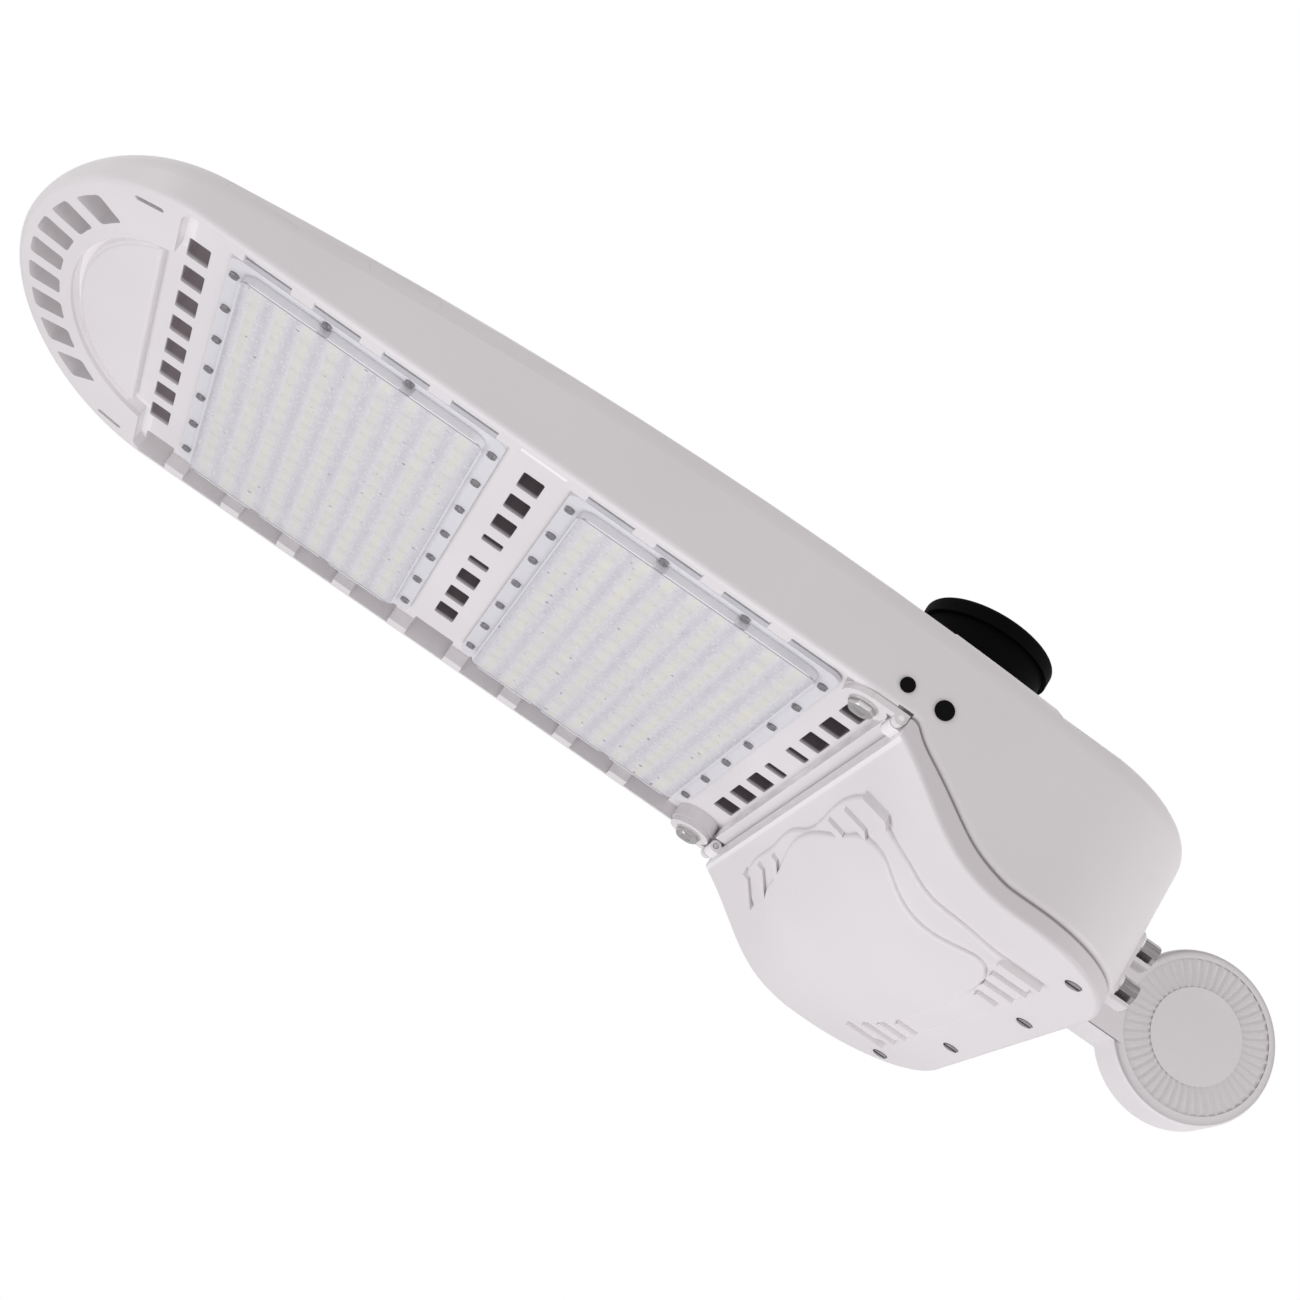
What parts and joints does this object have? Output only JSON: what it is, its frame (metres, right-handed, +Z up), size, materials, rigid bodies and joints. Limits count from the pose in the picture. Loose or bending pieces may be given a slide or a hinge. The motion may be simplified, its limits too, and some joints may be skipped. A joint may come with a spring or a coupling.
{
  "type": "LED area light head",
  "caption": "Outdoor LED area light head with two lens-covered modules, a hinged driver door, a twist-lock cap and a toothed mounting knuckle.",
  "frame": {"origin": "centre of the toothed knuckle disc at the rear of the head, on its pivot axis", "axes": "+X from the knuckle to the nose, +Y towards the knuckle's toothed face, +Z up, away from the lit face"},
  "size_m": [0.834, 0.3608, 0.2032],
  "materials": {
    "white_casting": "satin powder coat",
    "bright_steel": "brushed stainless",
    "black_rubber": "matte",
    "grey_silicone": "matte silicone",
    "clear_lens": "clear polycarbonate",
    "white_board": "white solder mask",
    "led_phosphor": "yellow phosphor",
    "black_cap": "matte black",
    "grey_housing_plastic": "matte",
    "brass_contact": "plain",
    "zinc_sheet": "zinc plated",
    "driver_case": "satin",
    "lead_insulation": "gloss"
  },
  "bodies": {
    "head": {"housing": "white_casting", "mounting_arm": "white_casting", "hinge_bracket_left": "white_casting", "hinge_bracket_right": "white_casting", "hinge_pins": "bright_steel", "ear_bolts": "bright_steel", "arm_bolts": "bright_steel", "arm_washers": "bright_steel", "lens_screws": "bright_steel", "board_screws": "bright_steel", "tray_screws": "bright_steel", "driver_screws": "bright_steel", "receptacle_screws": "bright_steel", "ground_screw": "brass_contact", "arm_gasket": "black_rubber", "lens_gasket_front": "grey_silicone", "lens_gasket_rear": "grey_silicone", "receptacle_gasket": "black_rubber", "side_plug_small": "black_rubber", "side_plug_large": "black_rubber", "led_board_front": "white_board", "led_board_rear": "white_board", "led_chips_front": "led_phosphor", "led_chips_rear": "led_phosphor", "lens_plate_front": "clear_lens", "lens_plate_rear": "clear_lens", "cap_receptacle": "grey_housing_plastic", "receptacle_contacts": "brass_contact", "gear_tray": "zinc_sheet", "led_driver": "driver_case", "surge_protector": "black_cap", "terminal_block": "grey_housing_plastic", "driver_leads": "lead_insulation"},
    "door": {"driver_door": "white_casting", "door_gasket": "grey_silicone", "door_screws": "bright_steel"},
    "cap": {"shorting_cap": "black_cap", "cap_blades": "brass_contact"}
  },
  "joints": [
    {"name": "door_hinge", "type": "hinge", "parent": "head", "child": "door", "pos_m": [0.264, 0, -0.0132], "axis": [0, -1, 0], "range_deg": [0, 85]},
    {"name": "cap_twist", "type": "hinge", "parent": "head", "child": "cap", "pos_m": [0.2137, 0, 0.104], "axis": [0, 0, 1], "range_deg": [0, 25]}
  ]
}
